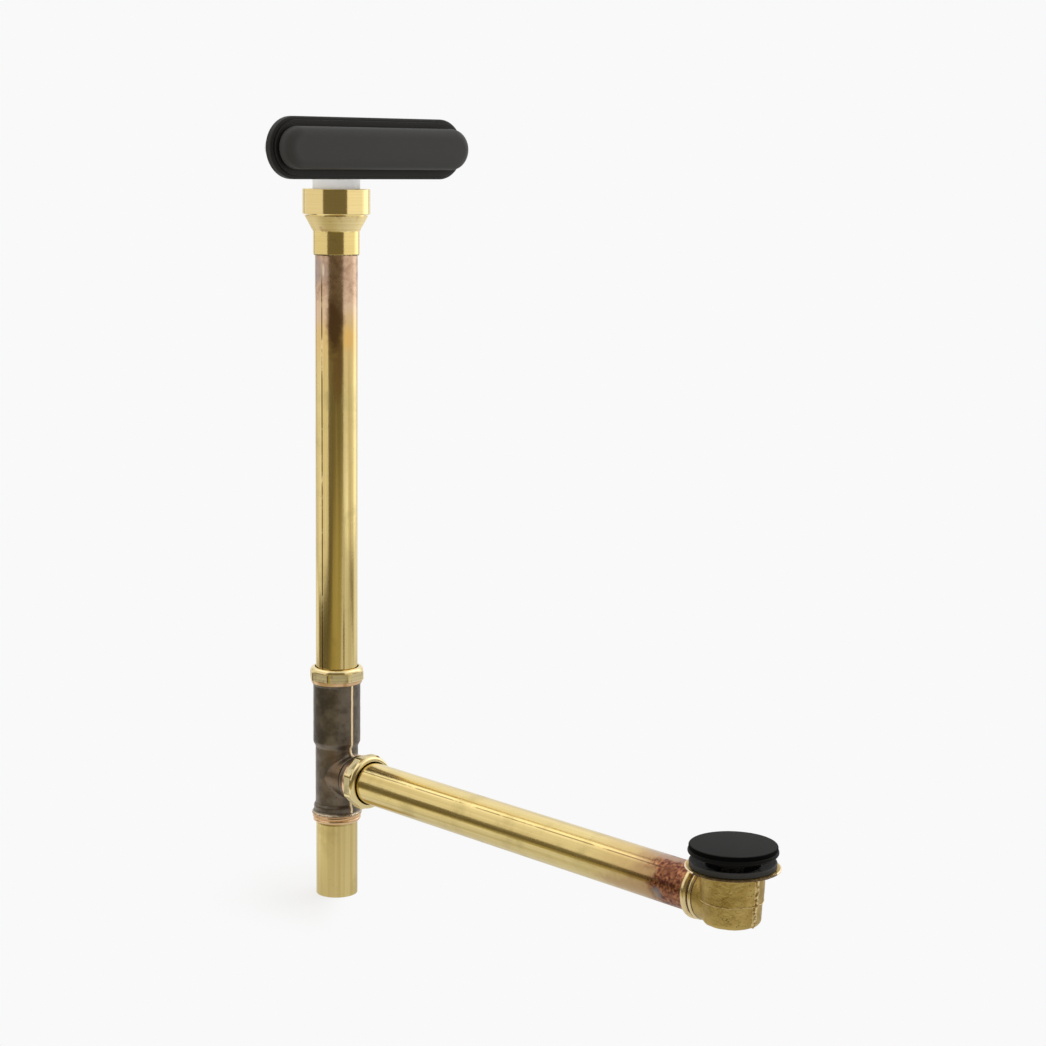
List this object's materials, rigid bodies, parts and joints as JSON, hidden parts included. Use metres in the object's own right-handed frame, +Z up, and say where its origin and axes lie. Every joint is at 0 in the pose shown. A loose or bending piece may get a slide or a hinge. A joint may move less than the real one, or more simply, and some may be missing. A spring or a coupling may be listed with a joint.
{
  "type": "bath waste and overflow",
  "caption": "Brass bath waste and overflow: black overflow cover, vertical tube, cast tee with tailpiece, waste tube and drain shoe with a push stopper.",
  "frame": {"origin": "centre of the tailpiece's lower end, where the trap is fitted", "axes": "+Z up along the overflow tube, -Y from the overflow tube to the drain, the way the overflow faces, +X along the overflow cover"},
  "size_m": [0.2164, 0.5528, 0.7111],
  "materials": {
    "tube_brass": "drawn brass tube, satin, with heat stains",
    "polished_brass": "polished brass",
    "cast_brass": "rough cast brass",
    "dark_casting": "dark as-cast brass with bright ground and machined edges",
    "black_trim": "matte black paint",
    "black_rubber": "black rubber",
    "black_plastic": "moulded black plastic",
    "white_plastic": "moulded white plastic",
    "steel": "plain steel"
  },
  "bodies": {
    "waste": {"tailpiece": "tube_brass", "overflow_tube_lower": "tube_brass", "overflow_tube_upper": "tube_brass", "waste_tube": "tube_brass", "tee": "dark_casting", "shoe": "cast_brass", "upper_slip_nut": "polished_brass", "branch_slip_nut": "polished_brass", "overflow_adaptor": "polished_brass", "overflow_ring_nut": "polished_brass", "upper_slip_washer": "black_rubber", "branch_slip_washer": "black_rubber", "overflow_washer": "black_rubber", "overflow_gasket": "black_rubber", "shoe_washer": "black_rubber", "overflow_housing": "white_plastic", "overflow_escutcheon": "black_trim", "overflow_cover": "black_trim", "drain_flange": "black_trim", "stopper_latch_cam": "black_plastic", "stopper_post": "steel", "stopper_spring": "steel", "overflow_screws": "steel"},
    "stopper": {"stopper_cap": "black_trim", "stopper_seal": "black_rubber", "stopper_retainer": "black_plastic", "stopper_sleeve": "steel"}
  },
  "joints": [
    {"name": "stopper_slide", "type": "slide", "parent": "waste", "child": "stopper", "axis": [0, 0, 1], "range_m": [-0.005, 0], "stiffness_N_per_m": 800, "springref_m": 0.012, "deforming": ["stopper_spring"]}
  ]
}
